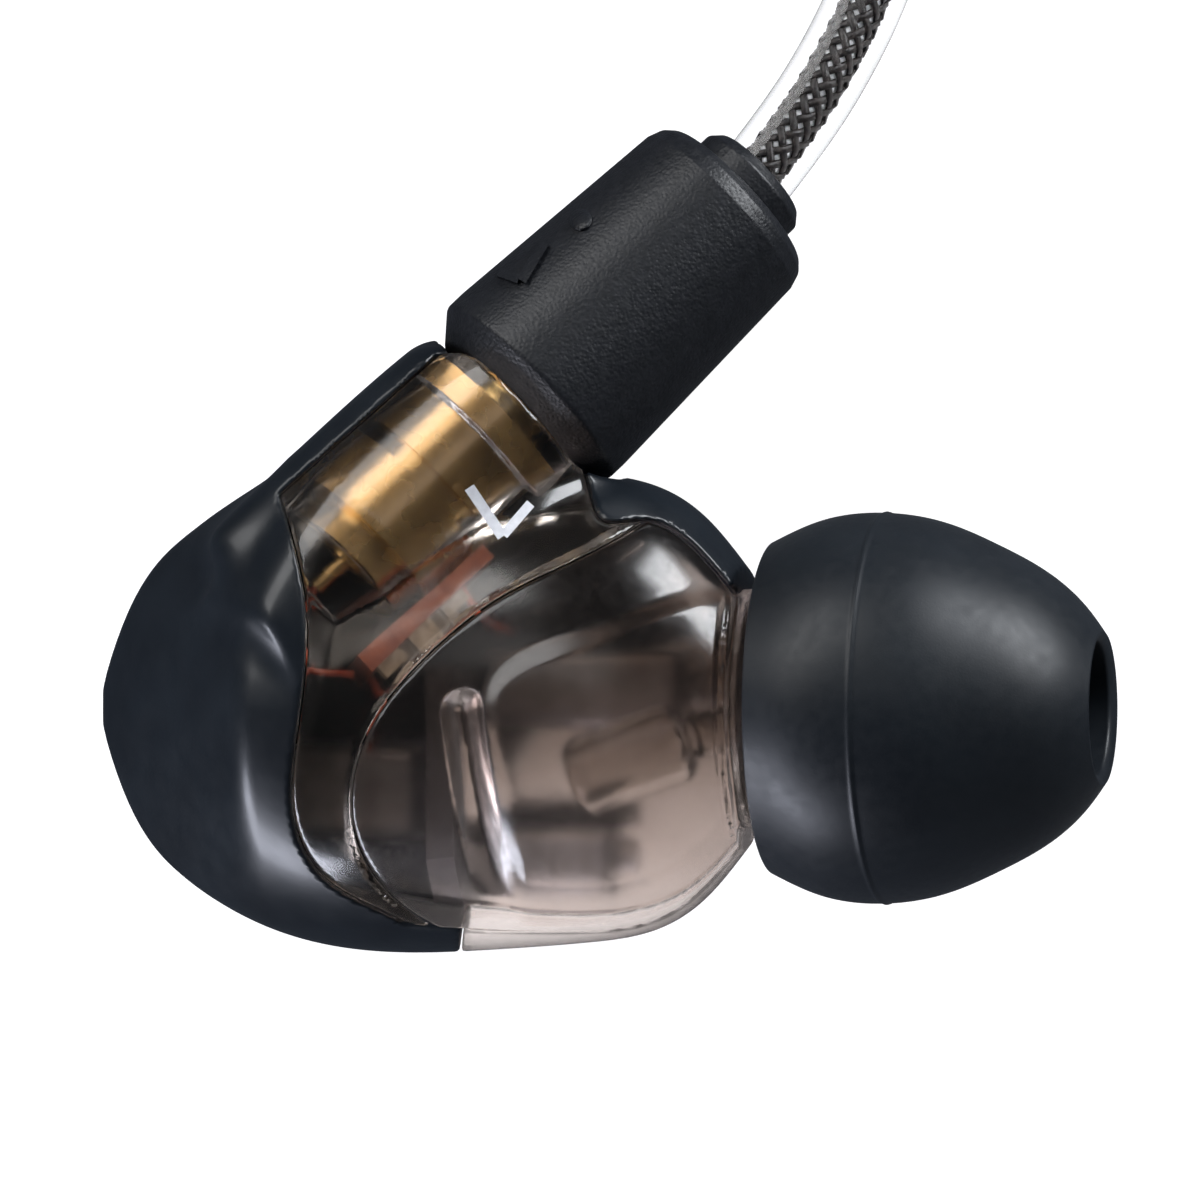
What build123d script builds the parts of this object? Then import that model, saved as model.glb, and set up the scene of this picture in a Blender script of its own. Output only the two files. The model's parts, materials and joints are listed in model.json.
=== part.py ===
"""Left in-ear monitor with its connector plug, ear loop, cable and 3.5 mm jack.

Shapes are drawn in the nozzle frame: X runs out of the ear-tip side along the nozzle axis,
Z points up from the table the monitor lies on. Sizes are in millimetres.
"""
from build123d import *
import os
from math import cos, pi, radians, sin, tan

# ---------------------------------------------------------------- driving dimensions
ORIGIN = (-5.3, 5.26, -6.32)       # part origin in the nozzle frame: under the middle, on the table
PARTING_TILT = 12.5                # the shells part along a direction leaning this much from Z to X
WALL = 1.1                         # wall of the three shells
PARTING_HEIGHT = 0.6               # the cover's rim on the far side, along the parting direction

# body sections: x, half height in Y, half thickness in Z, centre in Z
BODY_SECTIONS = [
    (-21.7, 0.8, 0.6, -1.2),
    (-20.7, 3.1, 2.5, -1.0),
    (-18.8, 5.3, 4.4, -0.6),
    (-16.0, 6.9, 5.8, -0.2),
    (-12.5, 7.7, 6.29, 0.0),
    (-8.5, 7.65, 6.29, 0.0),
    (-5.3, 7.4, 6.0, 0.0),
    (-3.4, 7.05, 5.5, 0.0),
    (-1.7, 6.0, 4.75, 0.0),
    (-0.4, 4.45, 4.0, 0.0),
]
FACE_NORMAL = Vector(-0.76, 0.0, 0.65)  # the left face leans down, and is bowed in Y
FACE_POINT = Vector(-15.25, 0.0, 6.03)
FACE_BOW_R = 12.5

# socket and plug share one axis: mouth of the neck, and direction out of it
MOUTH = Vector(-7.87, 9.31, 0.85)
PLUG_DIR = Vector(0.660, 0.678, -0.324).normalized()
NECK_R = 3.45
SOCKET_R = 2.3
SOCKET_FLANGE_R = 2.9
SOCKET_BORE_R = 1.65

PLUG_R = 3.71                      # largest radius of the plug barrel
PLUG_NOSE_R = 2.9
PLUG_TOP_R = 3.3
PLUG_LENGTH = 10.1
PLUG_GAP = 0.3                     # room round the plug where it passes the body
COLLAR_R = 2.0
COLLAR_LENGTH = 1.05
PLUG_SLEEVE_R = 1.55
PIN_R = 0.35

NOZZLE_R = 2.35
NOZZLE_LIP_R = 2.55
NOZZLE_BORE_R = 1.75
NOZZLE_END = 7.2

TIP_RIM_X = 0.62                   # ear tip: skirt rim, widest ring and outlet
TIP_RIM_R = 5.25
TIP_MAX_R = 6.15
TIP_END = 11.1
TIP_OUTLET_R = 2.1
TIP_CORE_R = 3.3
TIP_CORE_BORE_R = 2.6
TIP_SKIN = 0.55

FLOOR = ORIGIN[2]
LOOP_D = 2.5                       # ear-loop section of the cable
CABLE_D = 1.8                      # plain section of the cable

COIL_CENTRE = (-15.0, 55.0)        # wound cable: turns lie side by side in flat rows
COIL_TURN_OUT = 15.3               # centre radius of the outermost and innermost turns
COIL_TURN_IN = 6.3
COIL_ROWS = 4
COIL_TURNS_PER_ROW = 5
TIE_THICKNESS = 0.4
TIE_ANGLE = 180.0

JACK_R = 1.75                      # 3.5 mm jack, lying on the coil
JACK_ANGLE = 75.0                  # direction its pin points, degrees from +X
JACK_OFFSET = 10.8                 # distance of its barrel from the coil's centre
JACK_BARREL_R = 3.4

SIN_T, COS_T = sin(radians(PARTING_TILT)), cos(radians(PARTING_TILT))
PARTING = Plane(origin=(0, 0, 0), x_dir=(COS_T, 0, -SIN_T), z_dir=(SIN_T, 0, COS_T))
PLUG_PLANE = Plane(origin=MOUTH, z_dir=PLUG_DIR)


# ---------------------------------------------------------------- helpers
def ring(plane, outer_r, inner_r, start, end):
    """Tube or disc about the plane's normal, from start to end along it."""
    outline = Circle(outer_r) - Circle(inner_r) if inner_r else Circle(outer_r)
    return extrude(plane.offset(start) * outline, end - start)


def turned(plane, profile):
    """Solid of revolution about the plane's normal; profile is a list of (radius, height)."""
    section = Plane(origin=plane.origin, x_dir=plane.x_dir, z_dir=-plane.y_dir)
    return revolve(section * make_face(Polyline(*profile, close=True)), Axis(plane.origin, plane.z_dir))


def bowed_face(inset):
    """Everything behind the bowed left face."""
    bow_axis = Plane(origin=FACE_POINT - FACE_NORMAL.normalized() * FACE_BOW_R, z_dir=(0.65, 0, 0.76))
    return bow_axis * Cylinder(FACE_BOW_R - inset, 60)


def body_solid(inset):
    """Bean-shaped body with its bowed left face; inset moves its whole surface inwards."""
    rows = BODY_SECTIONS[1:] if inset else BODY_SECTIONS
    sections = []
    for x, half_y, half_z, centre_z in rows:
        plane = Plane(origin=(x, 0, centre_z), x_dir=(0, 1, 0), z_dir=(1, 0, 0))
        sections.append(plane * Ellipse(half_y - inset, half_z - inset))
    return loft(sections) & bowed_face(inset)


def frame_box(plane, centre, size):
    """Box of a size along the plane's own axes, its centre given in the plane."""
    return plane * Pos(*centre) * Box(*size)


def tube(points, diameter, name):
    """Round cord along straight runs and tangent arcs; each arc is as large as its two runs allow."""
    points = [Vector(*p) for p in points]
    radii = []
    for before, corner, after in zip(points, points[1:], points[2:]):
        run_in, run_out = corner - before, after - corner
        half_turn = radians(run_in.get_angle(run_out)) / 2
        radii.append(0.45 * min(run_in.length, run_out.length) / tan(half_turn))
    path = FilletPolyline(*points, radius=radii)
    solid = sweep(Plane(origin=points[0], z_dir=points[1] - points[0]) * Circle(diameter / 2), path=path)
    expected = pi * diameter ** 2 / 4 * path.length
    print(f"{name}: length {path.length:.1f}, radii {min(radii):.1f} to {max(radii):.1f}, "
          f"volume {solid.volume:.2f} of {expected:.2f}")
    return solid


# ---------------------------------------------------------------- earpiece shells
# seams seen along the parting direction
NECK_LINE = [(-7.0, 13.79), (-15.0, 6.69)]
COVER_SEAM = [(-15.0, 6.69), (-14.15, 3.2), (-14.45, -1.0), (-14.5, -3.6), (-13.6, -5.3), (-11.6, -6.45),
              (-8.5, -8.6)]
INNER_SEAM = [(-8.0, -8.4), (-9.4, -7.3), (-11.0, -6.3), (-12.3, -4.8), (-12.75, -3.0), (-12.2, -0.7),
              (-10.4, 1.6), (-8.1, 3.45), (-5.5, 4.75), (-2.5, 6.6), (0.0, 9.0)]
FAR_SEAM = [(-9.4, -9.0), (-9.3, -7.2), (-8.9, -5.2), (-8.0, -2.6), (-6.0, 0.3), (-3.2, 1.7), (0.6, 2.4)]
RIM_SEAM = [(-6.3, 9.2), (-5.4, 7.25), (-4.8, 5.85), (-3.75, 5.9), (-2.4, 5.4), (-1.4, 4.4), (-0.6, 3.4),
            (0.5, 1.6)]
FAIRING = [(-17.5, 5.2), (-10.4, 11.6), (-8.0, 9.0), (-14.0, 2.0)]


def earpiece_shells():
    """Outer cover, mid shell with the neck, and inner shell with the nozzle stem."""
    neck = turned(PLUG_PLANE, [(0, 0), (NECK_R, 0), (NECK_R, -6), (2.2, -10.5), (0, -10.5)]) & bowed_face(0)
    fairing = extrude(PARTING.offset(-3.4) * make_face(Polyline(*FAIRING, close=True)), 4.4)
    beyond_mouth = extrude(PLUG_PLANE * Circle(9), 6)
    plug_room = turned(PLUG_PLANE, [(0, 0), (PLUG_NOSE_R + PLUG_GAP, 0), (PLUG_R + PLUG_GAP, 0.95),
                                    (PLUG_R + PLUG_GAP, 6), (0, 6)])
    outside = (body_solid(0) - plug_room) + (neck + fairing - beyond_mouth)
    socket_hole = turned(PLUG_PLANE, [(0, 0), (SOCKET_FLANGE_R + 0.02, 0), (SOCKET_FLANGE_R + 0.02, -1.6),
                                      (SOCKET_R + 0.02, -1.6), (SOCKET_R + 0.02, -7.2), (1.75, -8.8),
                                      (0, -8.8)])
    shell = outside - body_solid(WALL) - socket_hole

    near_side = extrude(PARTING.offset(PARTING_HEIGHT) * Pos(-8, 0) * Rectangle(60, 60), 20)
    far_window = [Spline(*FAR_SEAM), Polyline(FAR_SEAM[-1], (4, 2.4), (4, -9), FAR_SEAM[0])]
    far_side = extrude(PARTING.offset(PARTING_HEIGHT) * make_face(far_window), -20)
    right_of_cover = [Polyline(*NECK_LINE), Spline(*COVER_SEAM),
                      Polyline(COVER_SEAM[-1], (4, -12), (4, 16), NECK_LINE[0])]
    rim_side = [Spline(*RIM_SEAM), Polyline(RIM_SEAM[-1], (4, 1.6), (4, 9.2), RIM_SEAM[0])]
    rim_prism = extrude(PARTING.offset(PARTING_HEIGHT - 0.1) * make_face(rim_side), 20)
    smoke_side = (extrude(PARTING.offset(-14) * make_face(right_of_cover), 30) & near_side) - rim_prism
    inner_side = [Spline(*INNER_SEAM), Polyline(INNER_SEAM[-1], (4, 9), (4, -9), INNER_SEAM[0])]
    inner_prism = extrude(PARTING.offset(-14) * make_face(inner_side), 30)

    cover = shell - smoke_side - far_side
    smoke = shell & smoke_side
    far_smoke = shell & far_side
    nozzle_plane = Plane(origin=(0, 0, 0), x_dir=(0, 1, 0), z_dir=(1, 0, 0))
    nozzle = turned(nozzle_plane, [
        (NOZZLE_BORE_R, -0.4), (3.75, -0.4), (3.75, 0.1), (NOZZLE_R + 0.3, 0.45), (NOZZLE_R, 0.75),
        (NOZZLE_R, 6.0), (NOZZLE_LIP_R, 6.3), (NOZZLE_LIP_R, 6.7), (NOZZLE_R, NOZZLE_END),
        (NOZZLE_BORE_R, NOZZLE_END)])
    return {
        "outer_cover": cover,
        "mid_shell": smoke - inner_prism,
        "inner_shell": (smoke & inner_prism) + far_smoke + nozzle,
        "nozzle_screen": ring(nozzle_plane, NOZZLE_BORE_R - 0.01, 0, 6.6, 6.85),
    }


def ear_tip():
    """Silicone dome tip: skirt, rounded crown, outlet, and the core tube that grips the nozzle."""
    outer = Spline((TIP_RIM_X, TIP_RIM_R), (2.2, 5.93), (4.1, TIP_MAX_R), (6.0, 5.85), (7.7, 5.15),
                   (9.4, 4.2), (10.5, 3.2), (TIP_END, 2.4))
    inner = Spline((TIP_RIM_X, TIP_RIM_R - TIP_SKIN), (2.2, 5.93 - TIP_SKIN), (4.1, TIP_MAX_R - TIP_SKIN),
                   (5.9, 5.25), (7.3, 4.55), (7.9, 3.8), (7.3, TIP_CORE_R))
    mouth = Polyline((TIP_END, 2.4), (TIP_END - 0.25, TIP_OUTLET_R), (NOZZLE_END + 0.1, TIP_OUTLET_R),
                     (NOZZLE_END + 0.1, TIP_CORE_BORE_R), (0.9, TIP_CORE_BORE_R), (0.9, TIP_CORE_R),
                     (7.3, TIP_CORE_R))
    rim = Line((TIP_RIM_X, TIP_RIM_R), (TIP_RIM_X, TIP_RIM_R - TIP_SKIN))
    return revolve(make_face([outer, mouth, inner, rim]), Axis.X)


# ---------------------------------------------------------------- socket and plug, along one axis
# SOCKET_FRAME: x runs out of the mouth, y and z lie across it, z towards the near side
ACROSS_PLUG = PARTING.z_dir - PLUG_DIR * PARTING.z_dir.dot(PLUG_DIR)
SOCKET_FRAME = Plane(origin=MOUTH, x_dir=PLUG_DIR, z_dir=ACROSS_PLUG)
RING_GROOVE = (-2.9, -2.4)         # groove in the plug sleeve that carries the snap ring


def socket_parts():
    """Coaxial socket held in the neck."""
    sleeve = turned(PLUG_PLANE, [(SOCKET_BORE_R, -0.4), (SOCKET_R - 0.25, -0.4), (SOCKET_R - 0.25, -1.5),
                                 (SOCKET_R, -1.5), (SOCKET_R, -3.4), (SOCKET_R - 0.2, -3.4),
                                 (SOCKET_R - 0.2, -4.0), (SOCKET_R, -4.0), (SOCKET_R, -6.0),
                                 (SOCKET_R - 0.35, -6.0), (SOCKET_R - 0.35, -7.0), (SOCKET_BORE_R, -7.0)])
    contact = turned(PLUG_PLANE, [(0.4, -4.2), (0.7, -4.2), (0.7, -7.2), (0.3, -7.2), (0.3, -8.4),
                                  (0, -8.4), (0, -6.9), (0.4, -6.9)])
    return {
        "socket_sleeve": sleeve,
        "socket_washer": ring(PLUG_PLANE, SOCKET_FLANGE_R, SOCKET_R - 0.25, -1.5, -0.6),
        "socket_insulator": ring(PLUG_PLANE, SOCKET_BORE_R, 0.7, -6.9, -5.9),
        "socket_contact": contact,
    }


def plug_parts():
    """Straight connector plug: barrel, collar, gold sleeve with its snap ring, insulator and pin."""
    top = PLUG_LENGTH
    housing = turned(PLUG_PLANE, [
        (PLUG_SLEEVE_R, 0.06), (PLUG_NOSE_R, 0.06), (PLUG_R, 0.95), (PLUG_R, 1.6), (PLUG_TOP_R, top - 0.75),
        (PLUG_TOP_R - 0.15, top - 0.3), (PLUG_TOP_R - 0.45, top), (1.3, top), (1.3, 3.6),
        (PLUG_SLEEVE_R, 3.6)])
    collar = turned(PLUG_PLANE, [
        (0.6, 8.0), (1.3, 8.0), (1.3, top), (COLLAR_R, top), (COLLAR_R, top + COLLAR_LENGTH - 0.35),
        (COLLAR_R - 0.3, top + COLLAR_LENGTH), (0.6, top + COLLAR_LENGTH)])
    groove_r = PLUG_SLEEVE_R - 0.25
    sleeve = turned(PLUG_PLANE, [
        (1.0, 2.6), (PLUG_SLEEVE_R, 2.6), (PLUG_SLEEVE_R, RING_GROOVE[1]), (groove_r, RING_GROOVE[1]),
        (groove_r, RING_GROOVE[0]), (PLUG_SLEEVE_R, RING_GROOVE[0]), (PLUG_SLEEVE_R, -4.4),
        (PLUG_SLEEVE_R - 0.2, -4.6), (1.0, -4.6)])
    snap = ring(PLUG_PLANE, SOCKET_BORE_R - 0.03, groove_r + 0.04,
                RING_GROOVE[0] + 0.03, RING_GROOVE[1] - 0.03)
    ring_slit = frame_box(SOCKET_FRAME, (RING_GROOVE[0], -1.5, 0), (2, 1.2, 0.5))
    pin = turned(PLUG_PLANE, [(0, 3.4), (PIN_R, 3.4), (PIN_R, -6.1), (PIN_R - 0.15, -6.35), (0, -6.4)])
    wire = FilletPolyline((3.4, 0.0, 0.0), (5.6, 0.1, 0.05), (7.2, 0.35, -0.1), (8.6, 0.2, 0.0), radius=1.5)
    wire = SOCKET_FRAME * wire
    core = sweep(Plane(origin=wire @ 0, z_dir=wire % 0) * Circle(0.22), path=wire)
    return {
        "plug_housing": housing,
        "plug_collar": collar,
        "plug_sleeve": sleeve,
        "plug_insulator": ring(PLUG_PLANE, 1.0, PIN_R, -4.2, 2.6),
        "plug_pin": pin,
        "plug_conductor": core,
        "snap_ring": snap - ring_slit,
    }


# ---------------------------------------------------------------- inside the earpiece
def capsule(start, end, radius, bore):
    """Straight tube with rounded shoulders."""
    direction = Vector(*end) - Vector(*start)
    plane = Plane(origin=start, z_dir=direction)
    body = fillet(ring(plane, radius, 0, 0, direction.length).edges(), radius * 0.45)
    return body - ring(plane, bore, 0, -1, direction.length + 1)


def balanced_driver(centre, size, spout_side):
    """Driver can with rounded edges, a lid step and a short spout."""
    length, height, depth = size
    can = fillet(Box(length, height, depth).edges(), 0.35)
    lid = Pos(0, 0, depth / 2 - 0.6) * (Box(length + 0.1, height + 0.1, 0.12))
    spout = Pos(spout_side * (length / 2 + 0.2), 0, 0.3) * Rot(0, 90, 0) * Cylinder(0.55, 0.9)
    return Pos(*centre) * (can + lid + spout)


def inner_parts():
    """Drivers, cradle, crossover board, sound tubes and leads."""
    board = frame_box(SOCKET_FRAME, (-6.4, -2.75, -0.5), (5.2, 0.7, 3.6))
    chips = [frame_box(SOCKET_FRAME, (x, -3.1 - height / 2, z), (0.9, height, 0.6))
             for x, z, height in [(-8.3, 0.8, 0.45), (-7.0, 0.9, 0.6), (-5.6, 0.7, 0.45), (-7.4, -0.6, 0.5),
                                  (-5.9, -0.9, 0.6), (-6.6, -1.8, 0.4)]]
    low = balanced_driver((-5.5, 0.55, -1.4), (6.2, 2.3, 4.2), 1)
    mid = balanced_driver((-13.0, -2.6, -1.0), (4.6, 2.8, 4.0), 1)
    high = balanced_driver((-6.7, -4.65, -0.8), (4.0, 1.8, 2.6), 1)
    cradle_web = Pos(-9.3, -2.4, -0.2) * Box(0.9, 7.4, 8.0)
    cradle_shelf = Pos(-7.0, -3.3, -1.6) * Box(5.0, 0.8, 3.0)
    cradle = (cradle_web + cradle_shelf) & body_solid(WALL + 0.03)
    spout_hole = Pos(-10.2, -2.6, -0.7) * Rot(0, 90, 0) * Cylinder(0.6, 3)
    low_tube = capsule((-1.95, 0.55, -1.1), (-0.45, 0.45, -0.8), 0.85, 0.62)
    tube = capsule((-5.55, -2.2, 2.05), (-1.95, -0.9, 1.8), 1.25, 0.9)
    spigot = capsule((-1.90, -0.86, 1.8), (-0.42, -0.5, 0.9), 0.7, 0.5)
    leads = []
    for points in [[(-8.4, 0.0, 0.0), (-9.6, -0.2, 0.2), (-10.2, -1.6, 0.1), (-9.3, -2.75, 0.0)],
                   [(-8.7, -3.1, -1.6), (-8.9, -3.9, -1.7), (-9.8, -4.2, -1.8), (-10.3, -4.75, -1.9)],
                   [(-5.0, -3.1, 0.3), (-5.2, -3.9, 0.5), (-5.0, -4.6, -0.3), (-4.6, -5.1, -0.9)]]:
        path = SOCKET_FRAME * FilletPolyline(*points, radius=0.2)
        leads.append(sweep(Plane(origin=path @ 0, z_dir=path % 0) * Circle(0.11), path=path))
    return {
        "crossover_board": board,
        "board_components": Compound(children=chips),
        "low_driver": low,
        "mid_driver": mid,
        "high_driver": high,
        "driver_cradle": cradle - spout_hole,
        "low_sound_tube": low_tube,
        "high_sound_tube": tube,
        "sound_tube_spigot": spigot,
        "signal_wires": Compound(children=leads),
    }


# ---------------------------------------------------------------- cable
COIL_BOTTOM = FLOOR + TIE_THICKNESS + 0.05
COIL_TOP = COIL_BOTTOM + COIL_ROWS * CABLE_D

LOOP_ROUTE = [(-0.71, 16.67, -2.66), (0.58, 18.50, -3.40), (1.70, 20.50, -4.10), (2.70, 22.75, -4.70),
              (3.95, 26.60, -5.07), (4.85, 32.40, -5.07), (5.20, 40.00, -5.07), (5.30, 49.90, -5.07),
              (5.19, 58.56, -5.07), (2.75, 65.25, -5.07), (-1.82, 70.70, -5.07), (-7.99, 74.26, -5.07),
              (-15.00, 75.50, -5.07), (-22.01, 74.26, -5.07), (-28.18, 70.70, -5.07),
              (-32.75, 65.25, -4.95), (-35.19, 58.56, -4.70)]
FERRULE_DIR = Vector(-2.44, -6.69, 0).normalized()
FERRULE_LENGTH = 6.0
LEAD_ROUTE = [(-37.25, 52.92, -4.70), (-38.40, 48.50, -5.10), (-36.90, 43.60, -5.42), (-32.60, 39.90, -5.42),
              (-26.80, 38.05, -5.42), (-21.00, 37.90, -5.30), (-16.20, 38.80, -5.05), (-12.34, 39.93, -4.97)]
TAIL_ROUTE = [(-12.34, 39.93, 0.43), (-6.30, 41.50, 0.80), (-1.30, 44.10, 1.60), (2.30, 47.60, 2.60),
              (3.90, 52.00, 3.50), (3.60, 56.60, 4.20), (2.00, 60.20, 4.60), (-0.614, 62.327, 4.75),
              (-3.512, 63.103, 4.75)]


def cable_parts():
    """Ear loop, its end ferrule, the plain lead, the coil with its tie, and the tail to the jack."""
    loop_end = Vector(*LOOP_ROUTE[-1])
    ferrule_plane = Plane(origin=loop_end, z_dir=FERRULE_DIR)
    ferrule = turned(ferrule_plane, [
        (0, 0), (1.55, 0), (1.6, 0.4), (1.6, 3.2), (1.45, 3.4), (1.45, 3.9), (1.6, 4.1),
        (1.2, FERRULE_LENGTH), (0, FERRULE_LENGTH)])
    middle = Plane(origin=(*COIL_CENTRE, 0))
    coil_out = COIL_TURN_OUT + CABLE_D / 2
    coil_in = COIL_TURN_IN - CABLE_D / 2
    coil = fillet(ring(middle, coil_out, coil_in, COIL_BOTTOM, COIL_TOP).edges(), CABLE_D / 2 - 0.1)
    tie = ring(middle, coil_out + TIE_THICKNESS, coil_in - TIE_THICKNESS,
               COIL_BOTTOM - TIE_THICKNESS, COIL_TOP + TIE_THICKNESS)
    tie_window = middle * Rot(0, 0, TIE_ANGLE) * Pos(coil_out / 2, 0, 0) * Box(coil_out + 4, 4.5, 40)
    wound = COIL_ROWS * COIL_TURNS_PER_ROW * pi * (COIL_TURN_OUT + COIL_TURN_IN)
    print(f"wound in the coil: {wound:.0f} mm")
    return {
        "ear_loop": tube(LOOP_ROUTE, LOOP_D, "ear_loop"),
        "loop_ferrule": ferrule,
        "cable_lead": tube(LEAD_ROUTE, CABLE_D, "cable_lead"),
        "cable_coil": coil,
        "cable_tie": (tie & tie_window) - coil,
        "cable_tail": tube(TAIL_ROUTE, CABLE_D, "cable_tail"),
    }


# JACK_FRAME: x runs along the pin, y along the barrel away from the cable
JACK_TURN = radians(JACK_ANGLE)
JACK_FRAME = Plane(
    origin=(COIL_CENTRE[0] + JACK_OFFSET * cos(JACK_TURN), COIL_CENTRE[1] + JACK_OFFSET * sin(JACK_TURN),
            COIL_TOP + JACK_BARREL_R + 0.02),
    x_dir=(cos(JACK_TURN), sin(JACK_TURN), 0), z_dir=(0, 0, 1))
PIN_START = 5.2                    # along the pin, from the barrel's axis
PIN_AT = 5.0                       # along the barrel


def jack_parts():
    """Right-angle 3.5 mm stereo jack with its strain relief."""
    barrel_plane = Plane(origin=JACK_FRAME.origin, x_dir=JACK_FRAME.x_dir, z_dir=JACK_FRAME.y_dir)
    pin_plane = Plane(origin=JACK_FRAME.origin + JACK_FRAME.y_dir * PIN_AT, x_dir=JACK_FRAME.y_dir,
                      z_dir=JACK_FRAME.x_dir)
    barrel = fillet(ring(barrel_plane, JACK_BARREL_R, 0, -3.0, 9.5).edges(), 0.7)
    boss = turned(pin_plane, [(0, 0), (JACK_BARREL_R - 0.05, 0), (JACK_BARREL_R - 0.05, PIN_START - 0.8),
                              (JACK_BARREL_R - 0.6, PIN_START), (0, PIN_START)])
    relief_profile = [(0, -3.0), (2.4, -3.0)]
    for step in range(4):
        start, radius = -3.9 - 1.2 * step, 2.3 - 0.25 * step
        relief_profile += [(radius, start), (radius - 0.45, start), (radius - 0.5, start - 0.5),
                           (radius - 0.08, start - 0.5)]
    relief_profile += [(1.35, -9.0), (0, -9.0)]
    ends = [PIN_START + length for length in (0, 6.8, 7.4, 9.4, 10.0)]
    tip = turned(pin_plane, [(0, ends[4]), (JACK_R, ends[4]), (JACK_R, ends[4] + 0.6), (1.3, ends[4] + 1.5),
                             (1.65, ends[4] + 2.3), (1.35, ends[4] + 3.3), (0.7, ends[4] + 4.0),
                             (0, ends[4] + 4.0)])
    insulators = [ring(pin_plane, JACK_R, 0, ends[1], ends[2]), ring(pin_plane, JACK_R, 0, ends[3], ends[4])]
    return {
        "jack_housing": barrel + boss,
        "jack_strain_relief": turned(barrel_plane, relief_profile),
        "jack_sleeve": ring(pin_plane, JACK_R, 0, ends[0], ends[1]),
        "jack_ring": ring(pin_plane, JACK_R, 0, ends[2], ends[3]),
        "jack_tip": tip,
        "jack_insulators": Compound(children=insulators),
    }


# ---------------------------------------------------------------- write one file per piece
def main():
    parts = {"ear_tip": ear_tip()}
    for group in (earpiece_shells, socket_parts, plug_parts, inner_parts, cable_parts, jack_parts):
        parts.update(group())
    os.makedirs("parts", exist_ok=True)
    for name, shape in parts.items():
        export_step(Pos(-ORIGIN[0], -ORIGIN[1], -ORIGIN[2]) * shape, f"parts/{name}.step")


if __name__ == "__main__":
    main()
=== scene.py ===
"""Looks of the left in-ear monitor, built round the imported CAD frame.

Lengths in the tables are millimetres in the nozzle frame: X runs out of the ear tip along the
nozzle, Z points up from the table. place() turns them into metres in the part's own frame.
"""
import json
from math import cos, pi, radians, sin

import bmesh
import bpy
import numpy as np
from mathutils import Matrix, Vector


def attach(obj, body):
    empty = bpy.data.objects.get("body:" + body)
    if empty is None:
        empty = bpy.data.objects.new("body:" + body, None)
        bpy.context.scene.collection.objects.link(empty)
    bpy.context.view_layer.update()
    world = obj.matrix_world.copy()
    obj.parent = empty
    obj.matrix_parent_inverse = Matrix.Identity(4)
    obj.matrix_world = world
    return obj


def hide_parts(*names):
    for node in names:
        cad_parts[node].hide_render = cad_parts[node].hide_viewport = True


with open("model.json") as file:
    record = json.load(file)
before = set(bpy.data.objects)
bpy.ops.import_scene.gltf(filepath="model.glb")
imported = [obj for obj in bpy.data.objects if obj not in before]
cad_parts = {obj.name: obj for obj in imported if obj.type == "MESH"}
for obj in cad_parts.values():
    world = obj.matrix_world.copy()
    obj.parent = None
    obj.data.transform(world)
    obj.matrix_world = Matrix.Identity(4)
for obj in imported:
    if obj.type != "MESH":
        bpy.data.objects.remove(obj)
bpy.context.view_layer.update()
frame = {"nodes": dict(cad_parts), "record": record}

MM = 0.001
ORIGIN = np.array([-5.3, 5.26, -6.32])
PARTING_TILT = radians(12.5)
U_DIR = np.array([cos(PARTING_TILT), 0.0, -sin(PARTING_TILT)])   # right in the main view
V_DIR = np.array([0.0, 1.0, 0.0])                                # up in the main view
W_DIR = np.array([sin(PARTING_TILT), 0.0, cos(PARTING_TILT)])    # towards the main view's camera


def place(points):
    """Nozzle-frame millimetres to metres in the part frame."""
    return (np.asarray(points, dtype=float) - ORIGIN) * MM


# ---------------------------------------------------------------- camera
FRAME_WIDTH = 37.8                 # what the picture spans, in mm
VIEW_CENTRE = -4.9455 * U_DIR + 3.402 * V_DIR
LENS = 500.0
SENSOR = 36.0


def make_camera():
    camera = bpy.data.objects.new("camera", bpy.data.cameras.new("camera"))
    bpy.context.scene.collection.objects.link(camera)
    camera.data.lens = LENS
    camera.data.sensor_width = SENSOR
    distance = FRAME_WIDTH * LENS / SENSOR
    axes = Matrix((U_DIR, V_DIR, W_DIR)).transposed().to_4x4()
    camera.matrix_world = Matrix.Translation(place(VIEW_CENTRE + W_DIR * distance)) @ axes
    camera.data.clip_start = 0.01
    camera.data.clip_end = 20
    bpy.context.scene.camera = camera


# ---------------------------------------------------------------- cords
LOOP_D = 2.5
CABLE_D = 1.8
LOOP_ROUTE = [(-0.71, 16.67, -2.66), (0.58, 18.50, -3.40), (1.70, 20.50, -4.10), (2.70, 22.75, -4.70),
              (3.95, 26.60, -5.07), (4.85, 32.40, -5.07), (5.20, 40.00, -5.07), (5.30, 49.90, -5.07),
              (5.19, 58.56, -5.07), (2.75, 65.25, -5.07), (-1.82, 70.70, -5.07), (-7.99, 74.26, -5.07),
              (-15.00, 75.50, -5.07), (-22.01, 74.26, -5.07), (-28.18, 70.70, -5.07),
              (-32.75, 65.25, -4.95), (-35.19, 58.56, -4.70)]
LEAD_ROUTE = [(-37.25, 52.92, -4.70), (-38.40, 48.50, -5.10), (-36.90, 43.60, -5.42), (-32.60, 39.90, -5.42),
              (-26.80, 38.05, -5.42), (-21.00, 37.90, -5.30), (-16.20, 38.80, -5.05)]
TAIL_ROUTE = [(-6.30, 41.50, 0.80), (-1.30, 44.10, 1.60), (2.30, 47.60, 2.60), (3.90, 52.00, 3.50),
              (3.60, 56.60, 4.20), (2.00, 60.20, 4.60), (-0.614, 62.327, 4.75), (-3.512, 63.103, 4.75)]
COIL_CENTRE = (-15.0, 55.0)
COIL_TURN_OUT, COIL_TURN_IN = 15.3, 6.3
COIL_ROWS, COIL_TURNS_PER_ROW, COIL_POINTS_PER_TURN = 4, 5, 24
COIL_START = 280.0                 # degrees from +X
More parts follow.
